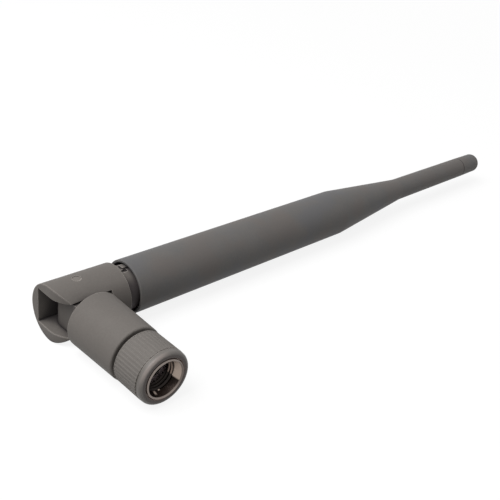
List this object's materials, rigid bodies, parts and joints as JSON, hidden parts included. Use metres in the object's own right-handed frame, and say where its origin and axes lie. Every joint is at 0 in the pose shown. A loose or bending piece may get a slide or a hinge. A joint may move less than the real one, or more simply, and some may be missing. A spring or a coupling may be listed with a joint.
{
  "type": "wifi antenna",
  "caption": "Tilt and swivel whip antenna with a tapered plastic mast on a fork knuckle and a ribbed coaxial plug, folded at a right angle.",
  "frame": {"origin": "start of the thread in the coupling nut, on the plug's axis", "axes": "+Y along the plug's axis from the nut's mouth to the knuckle, +X along the mast towards its tip, +Z along the tilt hinge's axis"},
  "size_m": [0.1432, 0.0336, 0.0118],
  "materials": {
    "grey_plastic": "moulded, fine satin",
    "radome_plastic": "moulded, fine satin",
    "pin_plastic": "moulded",
    "nickel_plate": "turned and nickel plated",
    "spring_steel": "bright",
    "gold_brass": "thinly gilt",
    "sleeve_brass": "drawn",
    "dark_insulator": "turned",
    "coax_jacket": "extruded",
    "copper_wire": "drawn",
    "white_plastic": "turned",
    "foam": "cut foam",
    "shrink_tube": "shrunk on"
  },
  "bodies": {
    "connector": {"connector_shell": "nickel_plate", "insulator": "dark_insulator", "centre_contact": "gold_brass", "crimp_ferrule": "nickel_plate", "snap_ring": "spring_steel"},
    "nut": {"coupling_nut": "nickel_plate", "nut_grip": "grey_plastic"},
    "barrel": {"barrel": "grey_plastic", "swivel_ring": "spring_steel"},
    "mast": {"fork": "grey_plastic", "hinge_pin_upper": "pin_plastic", "hinge_pin_lower": "pin_plastic", "radome": "radome_plastic", "tip_cap": "radome_plastic", "coax_cable": "coax_jacket", "radiating_sleeve": "sleeve_brass", "sleeve_plug": "white_plastic", "feed_bead": "white_plastic", "radiator": "copper_wire", "coil_former": "white_plastic", "feed_shrink": "shrink_tube", "lower_spacer": "foam", "mid_spacer": "foam", "upper_spacer": "foam"}
  },
  "joints": [
    {"name": "nut_spin", "type": "hinge", "parent": "connector", "child": "nut", "pos_m": [0, 0.003, 0], "axis": [0, 1, 0], "continuous": true},
    {"name": "barrel_swivel", "type": "hinge", "parent": "connector", "child": "barrel", "pos_m": [0, 0.01005, 0], "axis": [0, 1, 0], "range_deg": [-180, 180]},
    {"name": "mast_tilt", "type": "hinge", "parent": "barrel", "child": "mast", "pos_m": [0, 0.0261, 0], "axis": [0, 0, 1], "range_deg": [0, 90], "deforming": ["coax_cable"]}
  ]
}
